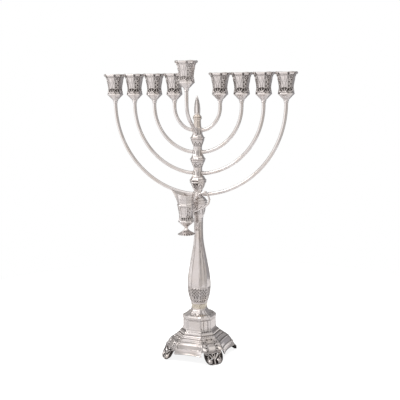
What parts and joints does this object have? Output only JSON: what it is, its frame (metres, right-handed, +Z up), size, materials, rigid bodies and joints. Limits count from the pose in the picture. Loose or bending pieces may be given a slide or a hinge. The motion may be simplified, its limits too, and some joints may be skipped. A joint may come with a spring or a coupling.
{
  "type": "menorah",
  "caption": "Tall silver menorah with a row of oil cups on curved tube arms, a raised helper cup at the front, a knopped stem, a stepped square base on scroll feet and a hanging oil jug.",
  "frame": {"origin": "middle of the outline on the table it stands on, directly below the midpoint of the bounding box; the stem's axis is 2.8 mm behind it", "axes": "+Z up along the stem; the row of arms lies along X; the helper arm and the jug are at the front, towards -Y"},
  "size_m": [0.3582, 0.1253, 0.527],
  "materials": {
    "polished_silver": "bright polished sterling-tone silver, plain",
    "chased_silver": "polished silver with chased ornament, darkened in its recesses",
    "steel_fixings": "plain zinc-plated steel"
  },
  "bodies": {
    "stand": {"base_skirt": "chased_silver", "foot_rear_right": "chased_silver", "foot_rear_left": "chased_silver", "foot_front_left": "chased_silver", "foot_front_right": "chased_silver", "pedestal_block": "chased_silver", "base_collar": "polished_silver", "bridge_plate": "steel_fixings", "rod_washer": "steel_fixings", "rod_nut": "steel_fixings", "tie_rod": "steel_fixings", "baluster": "chased_silver", "knop_1": "chased_silver", "knop_2": "chased_silver", "knop_3": "chased_silver", "knop_4": "chased_silver", "hub_1": "polished_silver", "hub_2": "polished_silver", "hub_3": "polished_silver", "hub_4": "polished_silver", "arm_left_1": "polished_silver", "arm_right_1": "polished_silver", "arm_left_2": "polished_silver", "arm_right_2": "polished_silver", "arm_left_3": "polished_silver", "arm_right_3": "polished_silver", "arm_left_4": "polished_silver", "arm_right_4": "polished_silver", "shamash_arm": "polished_silver", "finial_neck": "polished_silver", "finial_collar": "polished_silver", "finial_spear": "polished_silver", "jug_hook": "polished_silver"},
    "cup_left_1": {"cup_left_1": "chased_silver"},
    "cup_right_1": {"cup_right_1": "chased_silver"},
    "cup_left_2": {"cup_left_2": "chased_silver"},
    "cup_right_2": {"cup_right_2": "chased_silver"},
    "cup_left_3": {"cup_left_3": "chased_silver"},
    "cup_right_3": {"cup_right_3": "chased_silver"},
    "cup_left_4": {"cup_left_4": "chased_silver"},
    "cup_right_4": {"cup_right_4": "chased_silver"},
    "cup_shamash": {"cup_shamash": "chased_silver"},
    "jug": {"jug_body": "chased_silver", "jug_foot": "chased_silver", "jug_handle": "polished_silver"}
  },
  "joints": [
    {"name": "cup_left_1_lift", "type": "slide", "parent": "stand", "child": "cup_left_1", "axis": [0, 0, 1], "range_m": [0, 0.06]},
    {"name": "cup_right_1_lift", "type": "slide", "parent": "stand", "child": "cup_right_1", "axis": [0, 0, 1], "range_m": [0, 0.06]},
    {"name": "cup_left_2_lift", "type": "slide", "parent": "stand", "child": "cup_left_2", "axis": [0, 0, 1], "range_m": [0, 0.06]},
    {"name": "cup_right_2_lift", "type": "slide", "parent": "stand", "child": "cup_right_2", "axis": [0, 0, 1], "range_m": [0, 0.06]},
    {"name": "cup_left_3_lift", "type": "slide", "parent": "stand", "child": "cup_left_3", "axis": [0, 0, 1], "range_m": [0, 0.06]},
    {"name": "cup_right_3_lift", "type": "slide", "parent": "stand", "child": "cup_right_3", "axis": [0, 0, 1], "range_m": [0, 0.06]},
    {"name": "cup_left_4_lift", "type": "slide", "parent": "stand", "child": "cup_left_4", "axis": [0, 0, 1], "range_m": [0, 0.06]},
    {"name": "cup_right_4_lift", "type": "slide", "parent": "stand", "child": "cup_right_4", "axis": [0, 0, 1], "range_m": [0, 0.06]},
    {"name": "cup_shamash_lift", "type": "slide", "parent": "stand", "child": "cup_shamash", "axis": [0, 0, 1], "range_m": [0, 0.06]},
    {"name": "jug_unhook", "type": "slide", "parent": "stand", "child": "jug", "axis": [0, -0.45, 0.893], "range_m": [0, 0.09]}
  ]
}
